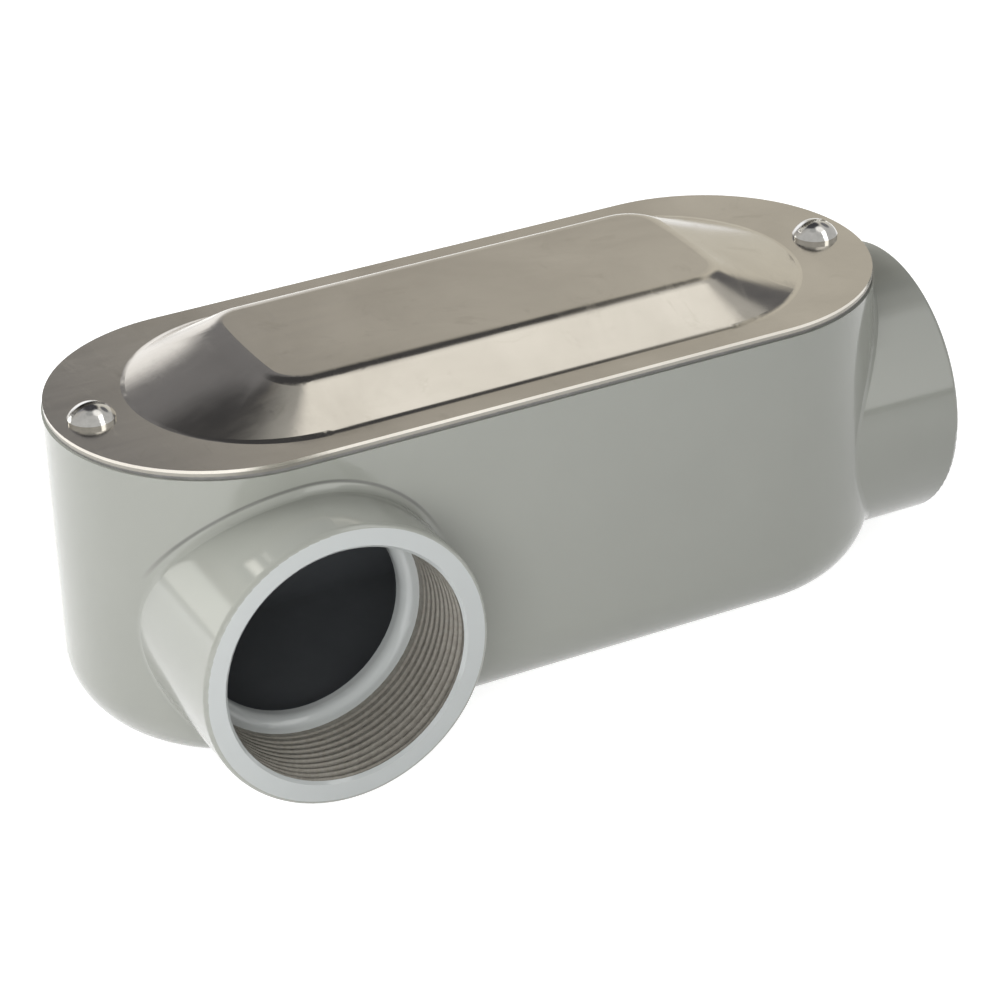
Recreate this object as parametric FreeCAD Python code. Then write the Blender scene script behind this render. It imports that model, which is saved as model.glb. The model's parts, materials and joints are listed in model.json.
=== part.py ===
"""Rigid cast conduit body for 2 inch pipe, type LL: an obround trough with one threaded hub
on its end and one on its side, closed by a gasketed sheet cover that two screws hold down.

Frame, in millimetres: origin at the middle of the trough's flat underside, +Z up towards the
cover, +X along the end hub, -Y along the side hub.
"""
import FreeCAD
import Part

import math
import os

from FreeCAD import Vector

# ---- trough: the cast body without its hubs --------------------------------------------
TROUGH_LENGTH = 204.3       # over both round ends
TROUGH_WIDTH = 81.0         # the ends are half circles of this diameter
WALL = 3.2                  # sides and floor
UNDERSIDE_EDGE_RADIUS = 16.5

# ---- hubs, for a 2 inch taper pipe thread ----------------------------------------------
HUB_DIAMETER = 67.6
HUB_ABOVE_UNDERSIDE = 1.3   # lowest line of either hub over the trough's underside
HUB_BELOW_SEAT = 6.1        # highest line of either hub under the gasket seat
END_HUB_REACH = 11.1        # face beyond the trough's round end
SIDE_HUB_REACH = 18.6       # face beyond the trough's flat side
SIDE_HUB_FROM_END = 41.1    # its axis from the tip of the trough's left end
THREAD_BORE_DIAMETER = 56.4     # over the crests of the thread
THREAD_DEPTH = 22.7
HUB_FACE_ROUND = 1.0        # outer edge of a hub's face
MOUTH_CHAMFER = 0.7
HUB_ROOT_FILLET = 2.0       # where a hub grows out of the trough
THROAT_DIAMETER = 49.0      # smooth bushing behind the thread, which spares the wires
BUSHING_LENGTH = 6.0
BUSHING_FRONT_ROUND = 2.6
BUSHING_REAR_CHAMFER = 1.8
THROAT_RUN_OUT = 5.0        # past the bushing, through the curved wall beside it

# ---- cover screws and the bosses that take them ----------------------------------------
SCREW_END_MARGIN = 9.15     # screw's axis from the end of the trough
SCREW_DIAMETER = 5.5
SCREW_LENGTH = 9.5          # under the head
SCREW_TIP_CHAMFER = 0.6
HEAD_DIAMETER = 10.8
HEAD_HEIGHT = 3.9
HEAD_RIM = 0.7              # straight wall under the domed top
SLOT_WIDTH = 1.5
SLOT_DEPTH = 2.0
TAPPED_CLEARANCE = 0.05     # screw to tapped hole, all round
TAPPED_DEPTH = 8.6
PASSING_CLEARANCE = 0.4     # screw to cover and to gasket, all round
BOSS_DIAMETER = 13.0
BOSS_LENGTH = 20.0          # on a boss's inner side, below the gasket seat
BOSS_TAPER = 14.0           # how much further it reaches along the wall

# ---- gasket ----------------------------------------------------------------------------
GASKET_THICKNESS = 0.8
GASKET_INSET = 0.7          # its edge behind the trough's outline
GASKET_SIDE_BAND = 5.4      # width along the sides
GASKET_END_BAND = 16.4      # width at the ends, around the screws

# ---- cover: one pressed sheet with a raised, flat-topped panel -------------------------
COVER_THICKNESS = 1.5
COVER_INSET = 0.4           # its edge behind the trough's outline
PANEL_HEIGHT = 7.8
PANEL_SIDE_MARGIN = 6.9     # cover's edge to the foot of the panel, along the sides
PANEL_END_MARGIN = 18.7     # the same at the ends
PANEL_SIDE_RUN = 12.5       # plan width of the sloping sides
PANEL_END_RUN = 26.5        # plan length of the sloping ends
PANEL_CORNER = 8.0          # corner radius of the flat top
FOLD_RADIUS = 7.0           # outer bend between flat top and slope
FOOT_RADIUS = 3.4           # upper bend between slope and flange

# ---- places that follow from those sizes -----------------------------------------------
TROUGH_RADIUS = TROUGH_WIDTH / 2
END_CENTRE = TROUGH_LENGTH / 2 - TROUGH_RADIUS
HUB_RADIUS = HUB_DIAMETER / 2
BORE_RADIUS = THREAD_BORE_DIAMETER / 2
THROAT_RADIUS = THROAT_DIAMETER / 2
BARREL_LENGTH = THREAD_DEPTH + BUSHING_LENGTH
SCREW_RADIUS = SCREW_DIAMETER / 2
SCREW_X = TROUGH_LENGTH / 2 - SCREW_END_MARGIN
SIDE_HUB_X = SIDE_HUB_FROM_END - TROUGH_LENGTH / 2
HUB_AXIS_HEIGHT = HUB_ABOVE_UNDERSIDE + HUB_RADIUS
TROUGH_HEIGHT = HUB_AXIS_HEIGHT + HUB_RADIUS + HUB_BELOW_SEAT   # underside to gasket seat
GASKET_TOP = TROUGH_HEIGHT + GASKET_THICKNESS
COVER_TOP = GASKET_TOP + COVER_THICKNESS
COVER_RADIUS = TROUGH_RADIUS - COVER_INSET

NEAR = 1e-3                     # what counts as the same place when edges are picked

# a hub is the middle of its face and the direction into the trough
END_HUB = (Vector(TROUGH_LENGTH / 2 + END_HUB_REACH, 0, HUB_AXIS_HEIGHT), Vector(-1, 0, 0))
SIDE_HUB = (Vector(SIDE_HUB_X, -TROUGH_RADIUS - SIDE_HUB_REACH, HUB_AXIS_HEIGHT),
            Vector(0, 1, 0))


def line(start, end):
    return Part.LineSegment(start, end).toShape()


def arc(start, middle, end):
    return Part.Arc(start, middle, end).toShape()


# ---- obround pieces --------------------------------------------------------------------
def obround_prism(inset, bottom, top):
    """Block with the trough's outline, drawn in by inset, between two heights."""
    radius = TROUGH_RADIUS - inset
    near_left = Vector(-END_CENTRE, -radius, bottom)
    near_right = Vector(END_CENTRE, -radius, bottom)
    far_left = Vector(-END_CENTRE, radius, bottom)
    far_right = Vector(END_CENTRE, radius, bottom)
    outline = Part.Wire([
        line(near_left, near_right),
        arc(near_right, Vector(END_CENTRE + radius, 0, bottom), far_right),
        line(far_right, far_left),
        arc(far_left, Vector(-END_CENTRE - radius, 0, bottom), near_left),
    ])
    return Part.Face(outline).extrude(Vector(0, 0, top - bottom))


def flat_edges(solid, height):
    """Edges of the solid that lie flat at one height."""
    return [e for e in solid.Edges
            if abs(e.BoundBox.ZMin - height) < NEAR and abs(e.BoundBox.ZMax - height) < NEAR]


def trough_block(inset, bottom, edge_radius):
    """Trough's outline with its lower edge rounded, up to the gasket seat."""
    block = obround_prism(inset, bottom, TROUGH_HEIGHT)
    return block.makeFillet(edge_radius, flat_edges(block, bottom))


# ---- hubs ------------------------------------------------------------------------------
def hub_cylinder(hub, length):
    """A hub's outside from its face inwards, the face's outer edge rounded."""
    face_centre, inward = hub
    cylinder = Part.makeCylinder(HUB_RADIUS, length, face_centre, inward)
    face_edge = [e for e in cylinder.Edges
                 if e.Closed and abs((e.CenterOfMass - face_centre).dot(inward)) < NEAR]
    return cylinder.makeFillet(HUB_FACE_ROUND, face_edge)


def hub_roots(solid, hub):
    """Edges where a hub's outside meets the outside of the trough."""
    face_centre, inward = hub
    beyond_face_round = 1.5 * HUB_FACE_ROUND
    roots = []
    for edge in solid.Edges:
        offsets = [point - face_centre for point in edge.discretize(9)]
        on_hub = all(abs(o.cross(inward).Length - HUB_RADIUS) < NEAR for o in offsets)
        clear_of_face = all(o.dot(inward) > beyond_face_round for o in offsets)
        straight = edge.Curve.TypeId == "Part::GeomLine"
        if on_hub and clear_of_face and not straight:
            roots.append(edge)
    return roots


def hub_bore(hub):
    """Room for the thread and, behind it, for the wires: the bushing's front lip is rounded."""
    face_centre, inward = hub
    across = inward.cross(Vector(0, 0, 1))
    mouth = BORE_RADIUS + MOUTH_CHAMFER
    lip = BUSHING_FRONT_ROUND
    lip_middle = lip * (1 - math.sqrt(0.5))
    rear = THROAT_RADIUS + BUSHING_REAR_CHAMFER

    def at(depth, radius):
        return face_centre + inward * depth + across * radius

    outline = Part.Wire([
        line(at(0, 0), at(0, mouth)),
        line(at(0, mouth), at(MOUTH_CHAMFER, BORE_RADIUS)),
        line(at(MOUTH_CHAMFER, BORE_RADIUS), at(THREAD_DEPTH, BORE_RADIUS)),
        line(at(THREAD_DEPTH, BORE_RADIUS), at(THREAD_DEPTH, THROAT_RADIUS + lip)),
        arc(at(THREAD_DEPTH, THROAT_RADIUS + lip),
            at(THREAD_DEPTH + lip_middle, THROAT_RADIUS + lip_middle),
            at(THREAD_DEPTH + lip, THROAT_RADIUS)),
        line(at(THREAD_DEPTH + lip, THROAT_RADIUS),
             at(BARREL_LENGTH - BUSHING_REAR_CHAMFER, THROAT_RADIUS)),
        line(at(BARREL_LENGTH - BUSHING_REAR_CHAMFER, THROAT_RADIUS), at(BARREL_LENGTH, rear)),
        line(at(BARREL_LENGTH, rear), at(BARREL_LENGTH + THROAT_RUN_OUT, rear)),
        line(at(BARREL_LENGTH + THROAT_RUN_OUT, rear), at(BARREL_LENGTH + THROAT_RUN_OUT, 0)),
        line(at(BARREL_LENGTH + THROAT_RUN_OUT, 0), at(0, 0)),
    ])
    return Part.Face(outline).revolve(face_centre, inward, 360)


# ---- the casting -----------------------------------------------------------------------
def boss(x):
    """Screw boss under the gasket seat, its foot cut on a slant towards the nearer end wall."""
    radius = BOSS_DIAMETER / 2
    reach = BOSS_LENGTH + BOSS_TAPER
    inner = x - math.copysign(radius, x)
    outer = x + math.copysign(radius, x)
    side = Part.makePolygon([
        Vector(inner, -radius, TROUGH_HEIGHT), Vector(outer, -radius, TROUGH_HEIGHT),
        Vector(outer, -radius, TROUGH_HEIGHT - reach),
        Vector(inner, -radius, TROUGH_HEIGHT - BOSS_LENGTH),
        Vector(inner, -radius, TROUGH_HEIGHT),
    ])
    slant = Part.Face(side).extrude(Vector(0, BOSS_DIAMETER, 0))
    return Part.makeCylinder(radius, reach, Vector(x, 0, TROUGH_HEIGHT - reach)).common(slant)


def conduit_body():
    outside = trough_block(0, 0, UNDERSIDE_EDGE_RADIUS)
    for hub, reach in ((END_HUB, END_HUB_REACH), (SIDE_HUB, SIDE_HUB_REACH)):
        outside = outside.fuse(hub_cylinder(hub, reach + TROUGH_RADIUS))
    roots = hub_roots(outside, END_HUB) + hub_roots(outside, SIDE_HUB)
    outside = outside.makeFillet(HUB_ROOT_FILLET, roots)

    cavity = trough_block(WALL, WALL, UNDERSIDE_EDGE_RADIUS - WALL)
    for hub in (END_HUB, SIDE_HUB):
        cavity = cavity.cut(Part.makeCylinder(HUB_RADIUS, BARREL_LENGTH, *hub))
    for x in (-SCREW_X, SCREW_X):
        cavity = cavity.cut(boss(x))

    body = outside.cut(cavity)
    for hub in (END_HUB, SIDE_HUB):
        body = body.cut(hub_bore(hub))
    for x in (-SCREW_X, SCREW_X):
        body = body.cut(Part.makeCylinder(SCREW_RADIUS + TAPPED_CLEARANCE, TAPPED_DEPTH,
                                          Vector(x, 0, TROUGH_HEIGHT - TAPPED_DEPTH)))
    return body.removeSplitter()


# ---- gasket and cover ------------------------------------------------------------------
def screw_passages():
    """Clearance holes for both screws, through gasket and cover."""
    radius = SCREW_RADIUS + PASSING_CLEARANCE
    height = GASKET_THICKNESS + COVER_THICKNESS
    holes = [Part.makeCylinder(radius, height, Vector(x, 0, TROUGH_HEIGHT))
             for x in (-SCREW_X, SCREW_X)]
    return holes[0].fuse(holes[1])


def gasket():
    ring = obround_prism(GASKET_INSET, TROUGH_HEIGHT, GASKET_TOP)
    radius = TROUGH_RADIUS - GASKET_INSET - GASKET_SIDE_BAND
    centre = TROUGH_LENGTH / 2 - GASKET_INSET - GASKET_END_BAND - radius
    window = Part.makeBox(2 * centre, 2 * radius, GASKET_THICKNESS,
                          Vector(-centre, -radius, TROUGH_HEIGHT))
    for x in (-centre, centre):
        window = window.fuse(Part.makeCylinder(radius, GASKET_THICKNESS,
                                               Vector(x, 0, TROUGH_HEIGHT)))
    return ring.cut(window).cut(screw_passages())


def panel(foot_height, top_height, side_inset, end_inset):
    """Raised panel as a solid: obround foot, round-cornered flat top, ruled slopes between.

    The two insets draw sides and ends in, for the underside of the sheet.
    """
    foot_radius = COVER_RADIUS - PANEL_SIDE_MARGIN - side_inset
    foot_tip = TROUGH_LENGTH / 2 - COVER_INSET - PANEL_END_MARGIN - end_inset
    foot_centre = foot_tip - foot_radius
    corner = PANEL_CORNER - side_inset
    corner_y = foot_radius - PANEL_SIDE_RUN - corner
    corner_x = foot_tip - PANEL_END_RUN - corner
    quarter = math.pi / 2
    # the end slope spans this angle of the foot, so that it meets the corners tangentially
    split = quarter * corner_y / (corner_y + corner * quarter)

    def foot(angle):
        return Vector(foot_centre + foot_radius * math.cos(angle),
                      foot_radius * math.sin(angle), foot_height)

    def top(angle):
        # the sign of the angle, also of a zero, picks the nearer or the farther corner
        return Vector(corner_x + corner * math.cos(angle),
                      math.copysign(corner_y, angle) + corner * math.sin(angle), top_height)

    def foot_arc(start, end):
        return arc(foot(start), foot((start + end) / 2), foot(end))

    def across(point):
        return Vector(-point.x, point.y, point.z)

    right_half = [
        (foot_arc(-quarter, -split), arc(top(-quarter), top(-quarter / 2), top(-0.0))),
        (foot_arc(-split, split), line(top(-0.0), top(0.0))),
        (foot_arc(split, quarter), arc(top(0.0), top(quarter / 2), top(quarter))),
        (line(foot(quarter), across(foot(quarter))), line(top(quarter), across(top(quarter)))),
    ]
    axis = (Vector(0, 0, 0), Vector(0, 0, 1))
    slopes = []
    for low, high in right_half:
        slopes.append((low, high))
        slopes.append((low.rotated(*axis, 180), high.rotated(*axis, 180)))
    faces = [Part.makeRuledSurface(low, high) for low, high in slopes]
    for end in (0, 1):
        faces.append(Part.Face(Part.Wire(Part.sortEdges([pair[end] for pair in slopes])[0])))
    shell = Part.makeShell(faces)
    shell.sewShape()
    solid = Part.Solid(shell)
    return solid if solid.Volume > 0 else solid.reversed()


def raised_sheet_side(inset, bottom, top, bends, side_inset, end_inset):
    """Flange block and panel in one, for one side of the sheet, with its two bends."""
    foot_bend, fold_bend = bends
    raised = panel(top, top + PANEL_HEIGHT, side_inset, end_inset)
    raised = raised.makeFillet(fold_bend, flat_edges(raised, top + PANEL_HEIGHT))
    block = obround_prism(inset, bottom, top)
    both = block.fuse(raised)
    extent = raised.BoundBox
    extent.enlarge(NEAR)
    feet = [e for e in flat_edges(both, top) if extent.isInside(e.BoundBox)]
    return both.makeFillet(foot_bend, feet)


def cover():
    side_slope = math.atan2(PANEL_HEIGHT, PANEL_SIDE_RUN)
    end_slope = math.atan2(PANEL_HEIGHT, PANEL_END_RUN)
    upper = raised_sheet_side(COVER_INSET, GASKET_TOP, COVER_TOP,
                              (FOOT_RADIUS, FOLD_RADIUS), 0, 0)
    lower = raised_sheet_side(-WALL, TROUGH_HEIGHT, GASKET_TOP,
                              (FOOT_RADIUS + COVER_THICKNESS, FOLD_RADIUS - COVER_THICKNESS),
                              COVER_THICKNESS * math.tan(side_slope / 2),
                              COVER_THICKNESS * math.tan(end_slope / 2))
    return upper.cut(lower).cut(screw_passages())


# ---- screws ----------------------------------------------------------------------------
def cover_screw(x):
    """Slotted round-head screw, its head sitting on the cover."""
    def at(radius, height):
        return Vector(x + radius, 0, COVER_TOP + height)

    head_radius = HEAD_DIAMETER / 2
    rise = HEAD_HEIGHT - HEAD_RIM
    sphere = (head_radius ** 2 + rise ** 2) / (2 * rise)
    half_angle = math.asin(min(1.0, head_radius / sphere)) / 2
    middle = at(sphere * math.sin(half_angle),
                HEAD_HEIGHT - sphere * (1 - math.cos(half_angle)))
    tip = SCREW_RADIUS - SCREW_TIP_CHAMFER
    outline = Part.Wire([
        line(at(0, -SCREW_LENGTH), at(tip, -SCREW_LENGTH)),
        line(at(tip, -SCREW_LENGTH), at(SCREW_RADIUS, SCREW_TIP_CHAMFER - SCREW_LENGTH)),
        line(at(SCREW_RADIUS, SCREW_TIP_CHAMFER - SCREW_LENGTH), at(SCREW_RADIUS, 0)),
        line(at(SCREW_RADIUS, 0), at(head_radius, 0)),
        line(at(head_radius, 0), at(head_radius, HEAD_RIM)),
        arc(at(head_radius, HEAD_RIM), middle, at(0, HEAD_HEIGHT)),
        line(at(0, HEAD_HEIGHT), at(0, -SCREW_LENGTH)),
    ])
    screw = Part.Face(outline).revolve(Vector(x, 0, 0), Vector(0, 0, 1), 360)
    slot = Part.makeBox(HEAD_DIAMETER, SLOT_WIDTH, SLOT_DEPTH,
                        Vector(x - head_radius, -SLOT_WIDTH / 2,
                               COVER_TOP + HEAD_HEIGHT - SLOT_DEPTH))
    return screw.cut(slot)


PIECES = {
    "conduit_body": conduit_body(),
    "gasket": gasket(),
    "cover": cover(),
    "cover_screw_left": cover_screw(-SCREW_X),
    "cover_screw_right": cover_screw(SCREW_X),
}

os.makedirs("parts", exist_ok=True)
for name, solid in PIECES.items():
    if not solid.isValid() or len(solid.Solids) != 1:
        raise ValueError(name + " is not one sound solid")
    solid.Solids[0].exportStep(os.path.join("parts", name + ".step"))
    print(name, "volume", round(solid.Volume, 1), "mm3, faces", len(solid.Faces))
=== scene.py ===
"""Looks of the cast conduit body: enamel on the casting, cut threads in both hubs, a pressed
sheet cover with its handling marks, plated screws, a rubber gasket, and a small photo studio.
Lengths are metres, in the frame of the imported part.
"""

import json
import math

import bmesh
import bpy
from mathutils import Matrix, Vector


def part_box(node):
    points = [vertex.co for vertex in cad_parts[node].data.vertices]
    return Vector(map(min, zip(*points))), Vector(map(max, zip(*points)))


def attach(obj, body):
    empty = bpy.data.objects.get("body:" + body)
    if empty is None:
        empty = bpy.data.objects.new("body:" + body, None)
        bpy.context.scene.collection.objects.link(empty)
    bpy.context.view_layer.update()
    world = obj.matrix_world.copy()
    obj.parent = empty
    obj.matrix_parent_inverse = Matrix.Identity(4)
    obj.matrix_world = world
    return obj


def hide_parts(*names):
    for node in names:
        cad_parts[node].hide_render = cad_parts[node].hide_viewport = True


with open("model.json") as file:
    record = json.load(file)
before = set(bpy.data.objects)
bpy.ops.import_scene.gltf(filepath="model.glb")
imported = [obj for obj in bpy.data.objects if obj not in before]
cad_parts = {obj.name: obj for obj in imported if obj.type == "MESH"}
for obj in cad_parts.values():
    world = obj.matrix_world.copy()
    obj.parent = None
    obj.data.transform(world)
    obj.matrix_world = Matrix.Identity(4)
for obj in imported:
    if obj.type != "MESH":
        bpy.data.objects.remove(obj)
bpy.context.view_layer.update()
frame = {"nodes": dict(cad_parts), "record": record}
NODES = frame["nodes"]
MM = 0.001

# ---- thread, 2 inch taper pipe: 11.5 turns to the inch -----------------------------------
PITCH = 25.4 * MM / 11.5
THREAD_HEIGHT = 1.35 * MM       # crest to root, after the crests are truncated
THREAD_TAPER = 1 / 32           # loss of root radius per length
CREST_SHARE = 0.16              # of a pitch
FLANK_SHARE = 0.36              # of a pitch, each side of the root
MOUTH_RUN_OUT = 0.5 * PITCH     # length over which the groove starts at the hub's mouth
INNER_RUN_OUT = 1.2 * PITCH     # length over which it ends inside
ROWS_PER_PITCH = 12
THREAD_COLUMNS = 200
WELD_DISTANCE = 0.002 * MM

# ---- casting: what tells its inside from its outside --------------------------------------
TROUGH_HALF_LENGTH = 102.15 * MM
CAVITY_WALL = 3.0 * MM          # a little under the wall's thickness
BOTTOM_ROUND = 14 * MM          # height below which the outside turns under
HUB_WALL = 4.7 * MM             # bore to the rounded edge of a hub's face
FACE_START = 0.3 * MM           # past a bore's mouth: there the hub's face begins
BUSHING_REACH = 6.5 * MM        # behind the thread, how far the bushing goes
BUSHING_LIP = 0.9 * MM          # how far over the thread's crests the bushing's faces still lie
BORE_TOLERANCE = 0.1 * MM       # across, for a corner that lies on a bore's wall
BORE_END_TOLERANCE = 0.05 * MM  # along, for the same corner
SEAT_BAND = 0.1 * MM            # under the gasket's seat, outside the cavity's painted shade
FACES_DOWN = -0.05              # a normal's Z below this turns under

# ---- marks that are painted ---------------------------------------------------------------
SHEAR_LINE = 76.6 * MM          # the cover's edge is bright above it and torn below
SHEAR_BLUR = 0.1 * MM
CREASE_RADIUS = 35.5 * MM       # from the side hub's axis to the outer edge of its root
CREASE_LINE = (0.15 * MM, 0.55 * MM)    # off that radius: full painted shade, and none
CREASE_RISE = (14 * MM, 24 * MM)        # over the axis: no painted shade, and most
CREASE_DEPTH = (30 * MM, 40 * MM)       # behind the bore's middle: most painted shade, and none
CREASE_MOST = 0.75


# ---- small helpers ------------------------------------------------------------------------
def hubs():
    """Each threaded hub as the middle of its bore, the way out, bore radius and wall length."""
    found = []
    for mount in frame["record"]["mounts"]:
        if mount["kind"] == "threaded_hole":
            dims = mount["dims"]
            found.append((Vector(mount["pos_m"]), Vector(mount["axis"]),
                          dims["r_mm"] * MM, dims["length_mm"] * MM))
    return found


# ---- materials ----------------------------------------------------------------------------
class Look:
    """A node material with short ways to add what this part's finishes need."""

    def __init__(self, name):
        self.material = bpy.data.materials.new(name)
        self.material.use_nodes = True
        self.tree = self.material.node_tree
        self.shader = self.tree.nodes["Principled BSDF"]
        self.place = self.add("ShaderNodeTexCoord").outputs["Object"]

    def add(self, kind, **settings):
        node = self.tree.nodes.new(kind)
        for key, value in settings.items():
            setattr(node, key, value)
        return node

    def join(self, output, socket):
        self.tree.links.new(output, socket)

    def stretched(self, scale):
        """Object coordinates scaled per axis."""
        mapping = self.add("ShaderNodeMapping")
        mapping.inputs["Scale"].default_value = scale
        self.join(self.place, mapping.inputs["Vector"])
        return mapping.outputs["Vector"]

    def noise(self, scale, detail=4.0, roughness=0.55, stretch=(1, 1, 1), distortion=0.0):
        node = self.add("ShaderNodeTexNoise")
        node.inputs["Scale"].default_value = scale
        node.inputs["Detail"].default_value = detail
        node.inputs["Roughness"].default_value = roughness
        node.inputs["Distortion"].default_value = distortion
        self.join(self.stretched(stretch), node.inputs["Vector"])
        return node.outputs["Fac"]

    def ramp(self, value, low, high, start=0.0, end=1.0):
        """Value remapped from low..high to start..end, clamped."""
        node = self.add("ShaderNodeMapRange")
        node.inputs["From Min"].default_value = low
        node.inputs["From Max"].default_value = high
        node.inputs["To Min"].default_value = start
        node.inputs["To Max"].default_value = end
        self.join(value, node.inputs["Value"])
        return node.outputs["Result"]

    def blend(self, amount, first, second):
        """Colour mix; first and second are colours or outputs."""
        node = self.add("ShaderNodeMix", data_type="RGBA")
        self.join(amount, node.inputs["Factor"])
        for socket, value in ((node.inputs["A"], first), (node.inputs["B"], second)):
            if isinstance(value, tuple):
                socket.default_value = (*value, 1)
            else:
                self.join(value, socket)
        return node.outputs["Result"]

    def maths(self, operation, first, second):
        node = self.add("ShaderNodeMath", operation=operation)
        for socket, value in zip(node.inputs, (first, second)):
            if isinstance(value, (int, float)):
                socket.default_value = value
            else:
                self.join(value, socket)
        return node.outputs["Value"]

    def bump(self, height, distance, strength=1.0):
        """Chains another bump onto the shader's normal."""
        node = self.add("ShaderNodeBump")
        node.inputs["Distance"].default_value = distance
        node.inputs["Strength"].default_value = strength
        self.join(height, node.inputs["Height"])
        socket = self.shader.inputs["Normal"]
        if socket.is_linked:
            self.join(socket.links[0].from_socket, node.inputs["Normal"])
        self.join(node.outputs["Normal"], socket)

    def set(self, **values):
        for key, value in values.items():
            socket = self.shader.inputs[key.replace("_", " ")]
            if isinstance(value, bpy.types.NodeSocket):
                self.join(value, socket)
            elif isinstance(value, tuple):
                socket.default_value = (*value, 1)
            else:
                socket.default_value = value
        return self


def enamel(name, dark, light):
    """Gloss enamel over a cast skin, with painted shade in the crease over the side hub."""
    look = Look(name)
    tone = look.ramp(look.noise(18, detail=3), 0.3, 0.7)
    colour = look.blend(tone, dark, light)
    # painted shade: a dark colour laid into the crease over the side hub, where shade falls
    colour = look.blend(painted_crease_shade(look), colour, (0.11, 0.11, 0.10))
    look.set(Base_Color=colour,
             Roughness=look.ramp(look.noise(60), 0.3, 0.7, 0.07, 0.13), IOR=1.6)
    look.bump(look.noise(26, detail=2), 0.0002, 0.10)
    return look.material


def painted_crease_shade(look):
    """Painted shade along the line where the side hub's barrel meets the wall above it, 0
    elsewhere.
    """
    centre = hubs()[1][0]
    apart = look.add("ShaderNodeVectorMath", operation="SUBTRACT")
    look.join(look.place, apart.inputs[0])
    apart.inputs[1].default_value = centre
    across = look.add("ShaderNodeVectorMath", operation="MULTIPLY")
    look.join(apart.outputs["Vector"], across.inputs[0])
    across.inputs[1].default_value = (1, 0, 1)
    reach = look.add("ShaderNodeVectorMath", operation="LENGTH")
    look.join(across.outputs["Vector"], reach.inputs[0])
    parts = look.add("ShaderNodeSeparateXYZ")
    look.join(apart.outputs["Vector"], parts.inputs[0])
    off_line = look.maths("ABSOLUTE", look.maths("SUBTRACT", reach.outputs["Value"],
                                                 CREASE_RADIUS), 0)
    line = look.ramp(off_line, *CREASE_LINE, 1.0, 0.0)
    upper = look.ramp(parts.outputs["Z"], *CREASE_RISE, 0.0, CREASE_MOST)
    near_wall = look.ramp(parts.outputs["Y"], *CREASE_DEPTH, 1.0, 0.0)
    return look.maths("MULTIPLY", line, look.maths("MULTIPLY", upper, near_wall))


def bare_thread():
    """Cut aluminium: dull, warm, with fine tool chatter."""
    look = Look("cut_thread")
    chatter = look.ramp(look.noise(900, detail=2), 0.35, 0.65)
    look.set(Base_Color=look.blend(chatter, (0.25, 0.235, 0.205), (0.34, 0.322, 0.285)),
             Metallic=0.45, Roughness=look.ramp(chatter, 0, 1, 0.42, 0.58))
    look.bump(look.noise(1500, detail=2), 0.00003, 0.4)
    return look.material


def painted_cavity_shade():
    """Painted shade on the cavity's walls: a near-black colour that stands in for the shade inside
    the closed body.
    """
    look = Look("cavity_painted_shade")
    tone = look.ramp(look.noise(40), 0.3, 0.7)
    look.set(Base_Color=look.blend(tone, (0.105, 0.113, 0.122), (0.130, 0.140, 0.150)),
             Roughness=look.ramp(look.noise(90), 0.3, 0.7, 0.55, 0.7))
    look.bump(look.noise(350, detail=4), 0.00008, 0.5)
    return look.material


def pressed_sheet():
    """Mill-finish sheet with rolling grain, scuffs, cloudy patches and a torn lower edge."""
    look = Look("cover_sheet")
    cloud = look.ramp(look.noise(26, detail=5, distortion=0.6), 0.30, 0.70)
    grain = look.noise(420, detail=3, stretch=(0.12, 1, 1))
    scuff = look.ramp(look.noise(160, detail=6, roughness=0.75, stretch=(1, 0.22, 1)), 0.56, 0.74)
    colour = look.blend(cloud, (0.560, 0.528, 0.472), (0.690, 0.655, 0.592))
    stain = look.ramp(look.noise(75, detail=7, roughness=0.7, distortion=1.2), 0.57, 0.72, 0.0, 0.5)
    colour = look.blend(stain, colour, (0.50, 0.47, 0.41))
    heights = look.add("ShaderNodeSeparateXYZ")
    look.join(look.place, heights.inputs[0])
    sheared = look.ramp(heights.outputs["Z"], SHEAR_LINE - SHEAR_BLUR, SHEAR_LINE, 1.0, 0.0)
    colour = look.blend(sheared, colour, (0.33, 0.315, 0.28))
    rough = look.ramp(grain, 0.3, 0.7, 0.12, 0.18)
    rough = look.maths("ADD", rough, look.ramp(scuff, 0, 1, 0.0, 0.09))
    rough = look.maths("ADD", rough, look.ramp(sheared, 0, 1, 0.0, 0.25))
    look.set(Base_Color=colour, Metallic=1.0, Roughness=rough)
    look.bump(grain, 0.00003, 0.20)
    look.bump(scuff, 0.00003, 0.25)
    return look.material


def bright_plating():
    """Bright plated steel with faint tumbling marks."""
    look = Look("screw_plating")
    tone = look.ramp(look.noise(500), 0.3, 0.7)
    look.set(Base_Color=look.blend(tone, (0.66, 0.655, 0.64), (0.80, 0.79, 0.775)),
             Metallic=1.0, Roughness=look.ramp(tone, 0, 1, 0.08, 0.16))
    look.bump(look.noise(900, detail=2), 0.00002, 0.3)
    return look.material


def dusty_rubber():
    """Rubber greyed by dust, matt."""
    look = Look("gasket_rubber")
    tone = look.ramp(look.noise(300), 0.3, 0.7)
    look.set(Base_Color=look.blend(tone, (0.200, 0.198, 0.190), (0.270, 0.266, 0.258)),
             Roughness=look.ramp(tone, 0, 1, 0.6, 0.8))
    look.bump(look.noise(1200, detail=3), 0.00005, 0.5)
    return look.material


# ---- casting ------------------------------------------------------------------------------
def axis_distance(point, centre, axis):
    offset = point - centre
    return (offset - axis * offset.dot(axis)).length


def on_bore_wall(face, centre, axis, radius, length):
    return all(abs(axis_distance(v.co, centre, axis) - radius) < BORE_TOLERANCE
               and abs((v.co - centre).dot(axis)) < length / 2 + BORE_END_TOLERANCE
               for v in face.verts)


def in_hub_end(point, centre, axis, radius, length):
    """Whether a point is on a hub's flat face or on the bushing behind its thread."""
    reach = axis_distance(point, centre, axis)
    outward = (point - centre).dot(axis) - length / 2
    on_face = outward > FACE_START and reach < radius + HUB_WALL
    on_bushing = -length - BUSHING_REACH < outward and reach < radius + BUSHING_LIP
    return on_face or on_bushing


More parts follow.
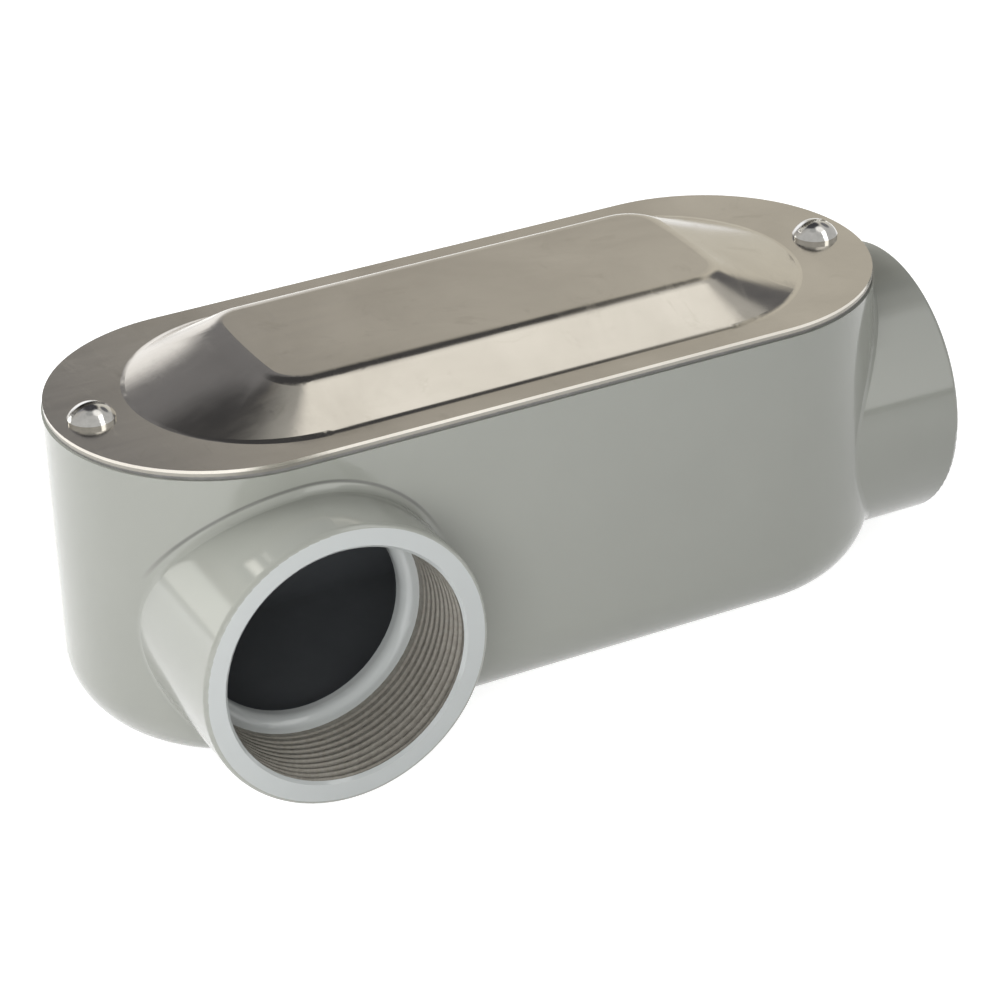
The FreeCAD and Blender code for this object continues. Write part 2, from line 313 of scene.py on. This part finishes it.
def thread_profile(phase):
    """Depth of the groove, 0 at the crest to 1 at the root, over one pitch."""
    if phase < CREST_SHARE:
        return 0.0
    if phase < CREST_SHARE + FLANK_SHARE:
        return (phase - CREST_SHARE) / FLANK_SHARE
    if phase < 1 - FLANK_SHARE:
        return 1.0
    return (1 - phase) / FLANK_SHARE


def thread_piece(name, centre, axis, radius, length, material):
    """A right-hand thread whose crests lie on the bore wall, run out at both ends."""
    inward = -axis
    up = Vector((0, 0, 1))
    start = centre + axis * length / 2
    rows = (math.ceil(length / PITCH) + 1) * ROWS_PER_PITCH
    mesh = bmesh.new()
    rings = []
    for column in range(THREAD_COLUMNS + 1):
        share = column / THREAD_COLUMNS
        angle = 2 * math.pi * share
        outwards = up * math.cos(angle) + inward.cross(up) * math.sin(angle)
        ring = []
        for row in range(rows + 1):
            depth = (row / ROWS_PER_PITCH - 1 + share) * PITCH
            clamped = min(max(depth, 0.0), length)
            run_out = min(1.0, clamped / MOUTH_RUN_OUT, (length - clamped) / INNER_RUN_OUT)
            groove = THREAD_HEIGHT * thread_profile((row / ROWS_PER_PITCH) % 1.0)
            reach = radius + max(groove - clamped * THREAD_TAPER, 0.0) * run_out
            ring.append(mesh.verts.new(start + inward * clamped + outwards * reach))
        rings.append(ring)
    for here, there in zip(rings, rings[1:]):
        for row in range(rows):
            face = mesh.faces.new((here[row], here[row + 1], there[row + 1], there[row]))
            face.smooth = True
    bmesh.ops.remove_doubles(mesh, verts=mesh.verts, dist=WELD_DISTANCE)
    piece = piece_from(name, mesh, (material,))
    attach(piece, "root")


def piece_from(name, mesh, materials):
    """A linked object made of a bmesh, which is freed."""
    data = bpy.data.meshes.new(name)
    mesh.to_mesh(data)
    mesh.free()
    for material in materials:
        data.materials.append(material)
    piece = bpy.data.objects.new(name, data)
    bpy.context.scene.collection.objects.link(piece)
    return piece


def finished_casting(coat, cavity_painted_shade, faced_coat):
    """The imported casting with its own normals, less the plain walls that the threads replace."""
    in_coat, in_cavity, in_faced = range(3)
    source = NODES["conduit_body"].data
    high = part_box("conduit_body")[1]
    bores = hubs()
    trough_radius = high.y
    end_centre = TROUGH_HALF_LENGTH - trough_radius
    normals = [corner.vector.copy() for corner in source.corner_normals]
    mesh = bmesh.new()
    mesh.from_mesh(source)
    mesh.faces.ensure_lookup_table()
    bored = [f for f in mesh.faces if any(on_bore_wall(f, *bore) for bore in bores)]
    bored_numbers = {f.index for f in bored}
    for face in mesh.faces:
        middle = face.calc_center_median()
        in_hub = any(in_hub_end(middle, *bore) for bore in bores)
        along = max(abs(middle.x) - end_centre, 0.0)
        outer_round = middle.z < BOTTOM_ROUND and face.normal.z < FACES_DOWN
        inside = (math.hypot(along, middle.y) < trough_radius - CAVITY_WALL and not outer_round
                  and CAVITY_WALL < middle.z < high.z - SEAT_BAND)
        if in_hub:
            face.material_index = in_faced
        elif inside:
            # painted shade: faces inside the cavity get the near-black colour that stands in for
            # shade
            face.material_index = in_cavity
        else:
            face.material_index = in_coat
    kept = [normals[corner] for polygon in source.polygons if polygon.index not in bored_numbers
            for corner in polygon.loop_indices]
    bmesh.ops.delete(mesh, geom=bored, context="FACES")
    casting = piece_from("casting", mesh, (coat, cavity_painted_shade, faced_coat))
    casting.data.normals_split_custom_set(kept)
    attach(casting, "root")
    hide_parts("conduit_body")


def dress(node, material):
    """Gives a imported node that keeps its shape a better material."""
    data = NODES[node].data
    data.materials.clear()
    data.materials.append(material)


# ---- studio -------------------------------------------------------------------------------
AZIMUTH, ELEVATION, ROLL = (math.radians(a) for a in (-26.7, 28.7, -1.9))
TOWARDS_CAMERA = Vector((math.sin(AZIMUTH) * math.cos(ELEVATION),
                         -math.cos(AZIMUTH) * math.cos(ELEVATION), math.sin(ELEVATION)))
CAMERA_DISTANCE = 0.8338
CAMERA_LENS = 128.1             # millimetres, on the sensor below
CAMERA_SENSOR = 36
AIM_HEIGHT = 38.65 * MM         # over the part's origin
AIM_RIGHT = 5.65 * MM
AIM_DOWN = 6.87 * MM
WORLD_LIGHT = 0.24              # strength that lights the part; 1 where it is seen
FLOOR_SIZE = 12
FLOOR_GAP = 0.2 * MM            # under the part
FLOOR_GREY = 0.68
FLOOR_SEEN = 0.80               # glow added where the floor is seen
SHELL_RADIUS = 4
SHELL_GREY = (0.55, 0.545, 0.53)
# name, place, size, watts
LIGHTS = (
    ("left", (-0.43, 0.46, 0.49), (0.5, 0.4), 4.6),
    ("right", (0.80, 0.0, 0.11), (0.5, 0.2), 2.1),
    ("front", (-0.26, -0.40, 0.20), (0.3, 0.2), 1.25),
)


def place_camera():
    """Long lens from the front left, a little above, tipped slightly off level."""
    back = TOWARDS_CAMERA
    level = Vector((math.cos(AZIMUTH), math.sin(AZIMUTH), 0))
    rise = back.cross(level)
    aim = Vector((0, 0, AIM_HEIGHT)) + level * AIM_RIGHT - rise * AIM_DOWN
    right = level * math.cos(ROLL) + rise * math.sin(ROLL)
    up = rise * math.cos(ROLL) - level * math.sin(ROLL)
    data = bpy.data.cameras.new("camera")
    data.lens = CAMERA_LENS
    data.sensor_width = CAMERA_SENSOR
    camera = bpy.data.objects.new("camera", data)
    camera.matrix_world = (Matrix.Translation(aim + back * CAMERA_DISTANCE)
                           @ Matrix((right, up, back)).transposed().to_4x4())
    bpy.context.scene.collection.objects.link(camera)
    bpy.context.scene.camera = camera


def seen_directly(tree):
    """1 for camera, mirror and see-through rays, 0 for rays that light things."""
    path = tree.nodes.new("ShaderNodeLightPath")
    total = path.outputs["Is Camera Ray"]
    for name in ("Is Glossy Ray", "Is Transmission Ray"):
        adder = tree.nodes.new("ShaderNodeMath")
        adder.operation = "MAXIMUM"
        tree.links.new(total, adder.inputs[0])
        tree.links.new(path.outputs[name], adder.inputs[1])
        total = adder.outputs["Value"]
    return total


def white_world():
    """White where it is seen, and a weak even light elsewhere."""
    world = bpy.data.worlds.new("studio")
    bpy.context.scene.world = world
    world.use_nodes = True
    tree = world.node_tree
    background = tree.nodes["Background"]
    background.inputs["Color"].default_value = (1, 1, 1, 1)
    strength = tree.nodes.new("ShaderNodeMapRange")
    strength.inputs["To Min"].default_value = WORLD_LIGHT
    strength.inputs["To Max"].default_value = 1.0
    tree.links.new(seen_directly(tree), strength.inputs["Value"])
    tree.links.new(strength.outputs["Result"], background.inputs["Strength"])


def white_floor():
    """Pale floor that keeps the shadow and reads as white where it is seen."""
    bpy.ops.mesh.primitive_plane_add(size=FLOOR_SIZE, location=(0, 0, -FLOOR_GAP))
    floor = bpy.context.object
    floor.name = "floor"
    material = bpy.data.materials.new("floor")
    material.use_nodes = True
    tree = material.node_tree
    tree.nodes.remove(tree.nodes["Principled BSDF"])
    output = tree.nodes["Material Output"]
    matte = tree.nodes.new("ShaderNodeBsdfDiffuse")
    matte.inputs["Color"].default_value = (FLOOR_GREY, FLOOR_GREY, FLOOR_GREY, 1)
    lift = tree.nodes.new("ShaderNodeEmission")
    strength = tree.nodes.new("ShaderNodeMath")
    strength.operation = "MULTIPLY"
    strength.inputs[1].default_value = FLOOR_SEEN
    tree.links.new(seen_directly(tree), strength.inputs[0])
    tree.links.new(strength.outputs["Value"], lift.inputs["Strength"])
    both = tree.nodes.new("ShaderNodeAddShader")
    tree.links.new(matte.outputs["BSDF"], both.inputs[0])
    tree.links.new(lift.outputs["Emission"], both.inputs[1])
    tree.links.new(both.outputs["Shader"], output.inputs["Surface"])
    floor.data.materials.append(material)


def towards(azimuth, elevation):
    """Direction by degrees round from +Y to +X, and up."""
    turn, rise = math.radians(azimuth), math.radians(elevation)
    return Vector((math.sin(turn) * math.cos(rise), math.cos(turn) * math.cos(rise),
                   math.sin(rise)))


# what the cover's level faces mirror in the photographed view
OVER_THE_COVER = Vector((-TOWARDS_CAMERA.x, -TOWARDS_CAMERA.y, TOWARDS_CAMERA.z))
# a narrow bright strip of equal cards, from low on the right up and over
STRIP = [(towards(*place), 9, 10.5, (2.3, 2.3, 2.25))
         for place in ((147, 14), (147, 27), (142, 40), (132, 51), (119, 58))]
# centre, half angle that it fills and half angle where it ends, colour; later ones lie in front
CARDS = (
    (towards(-60, 85), 9, 16, (0.42, 0.42, 0.41)),
    (OVER_THE_COVER, 30, 42, (0.72, 0.69, 0.615)),
    (towards(-8, 29), 20, 46, (0.46, 0.44, 0.405)),
    (towards(-6, 38), 20, 26.8, (0.23, 0.23, 0.245)),
    (towards(5, 8), 8, 20, (1.22, 1.22, 1.24)),
    (towards(18, 60), 15.5, 24.5, (0.06, 0.06, 0.065)),
    (towards(64, 36), 7, 15, (0.15, 0.15, 0.16)),
    *STRIP,
    (towards(100, 70), 10, 18, (1.12, 1.10, 1.06)),
    (towards(-38, 0), 13, 17, (2.1, 2.1, 2.0)),
    (towards(-21.9, 28.8), 2.4, 3.8, (3.7, 3.6, 3.3)),
    (towards(-15.5, 33.0), 0.8, 1.8, (3.4, 3.3, 3.0)),
)


def cards_round_the_metal():
    """Shell of grey and white cards that only polished surfaces see."""
    bpy.ops.mesh.primitive_uv_sphere_add(segments=64, ring_count=32, radius=SHELL_RADIUS)
    shell = bpy.context.object
    shell.name = "cards"
    material = bpy.data.materials.new("cards")
    material.use_nodes = True
    tree = material.node_tree
    tree.nodes.remove(tree.nodes["Principled BSDF"])
    place = tree.nodes.new("ShaderNodeTexCoord").outputs["Object"]
    direction = tree.nodes.new("ShaderNodeVectorMath")
    direction.operation = "NORMALIZE"
    tree.links.new(place, direction.inputs[0])
    colour = None
    for centre, filled, ends, tone in CARDS:
        nearness = tree.nodes.new("ShaderNodeVectorMath")
        nearness.operation = "DOT_PRODUCT"
        nearness.inputs[1].default_value = centre
        tree.links.new(direction.outputs["Vector"], nearness.inputs[0])
        edge = tree.nodes.new("ShaderNodeMapRange")
        edge.interpolation_type = "SMOOTHSTEP"
        edge.inputs["From Min"].default_value = math.cos(math.radians(ends))
        edge.inputs["From Max"].default_value = math.cos(math.radians(filled))
        tree.links.new(nearness.outputs["Value"], edge.inputs["Value"])
        layer = tree.nodes.new("ShaderNodeMix")
        layer.data_type = "RGBA"
        layer.inputs["B"].default_value = (*tone, 1)
        tree.links.new(edge.outputs["Result"], layer.inputs["Factor"])
        if colour is None:
            layer.inputs["A"].default_value = (*SHELL_GREY, 1)
        else:
            tree.links.new(colour, layer.inputs["A"])
        colour = layer.outputs["Result"]
    glow = tree.nodes.new("ShaderNodeEmission")
    tree.links.new(colour, glow.inputs["Color"])
    tree.links.new(glow.outputs["Emission"], tree.nodes["Material Output"].inputs["Surface"])
    shell.data.materials.append(material)
    for rays in ("camera", "diffuse", "shadow", "transmission", "volume_scatter"):
        setattr(shell, "visible_" + rays, False)


def area_light(name, place, size, power):
    """Lamp aimed at the origin, which shows in no mirror."""
    data = bpy.data.lights.new(name, "AREA")
    data.shape = "RECTANGLE"
    data.size, data.size_y = size
    data.energy = power
    light = bpy.data.objects.new(name, data)
    light.location = place
    light.rotation_euler = (-Vector(place)).to_track_quat("-Z", "Y").to_euler()
    light.visible_glossy = False
    light.visible_camera = False
    bpy.context.scene.collection.objects.link(light)


# ---- the part and its studio -------------------------------------------------------------
finished_casting(enamel("grey_enamel", (0.368, 0.378, 0.340), (0.388, 0.398, 0.358)),
                 painted_cavity_shade(),
                 enamel("faced_enamel", (0.530, 0.556, 0.550), (0.560, 0.586, 0.580)))
thread_look = bare_thread()
for hub_name, bore in zip(("end_hub_thread", "side_hub_thread"), hubs()):
    thread_piece(hub_name, *bore, thread_look)
dress("cover", pressed_sheet())
dress("gasket", dusty_rubber())
plating = bright_plating()
dress("cover_screw_left", plating)
dress("cover_screw_right", plating)

white_world()
white_floor()
cards_round_the_metal()
for lamp in LIGHTS:
    area_light(*lamp)
place_camera()
bpy.context.scene.view_settings.view_transform = "Standard"
